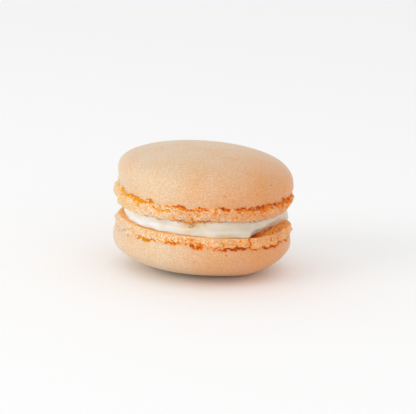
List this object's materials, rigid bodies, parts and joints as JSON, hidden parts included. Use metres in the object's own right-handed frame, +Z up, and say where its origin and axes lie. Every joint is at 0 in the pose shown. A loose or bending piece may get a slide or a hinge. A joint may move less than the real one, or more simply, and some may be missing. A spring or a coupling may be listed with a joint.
{
  "type": "macaron",
  "caption": "Round sandwich biscuit: smooth domed meringue shells with frilled feet, held together by a layer of pale cream, resting on a small flat spot.",
  "frame": {"origin": "on the surface it rests on, below the middle of the macaron", "axes": "+Z up through the two domes, -Y towards the side that the picture shows, +X to that side's right"},
  "size_m": [0.0456, 0.0453, 0.031],
  "materials": {
    "shell_top": "baked almond meringue, matte, pale melon orange, more orange in its frilled foot",
    "cream_filling": "off-white cream, soft satin",
    "shell_bottom": "baked almond meringue, matte, pale melon orange, more orange in its frilled foot"
  },
  "bodies": {
    "root": {"shell_top": "shell_top", "cream_filling": "cream_filling", "shell_bottom": "shell_bottom"}
  },
  "joints": []
}
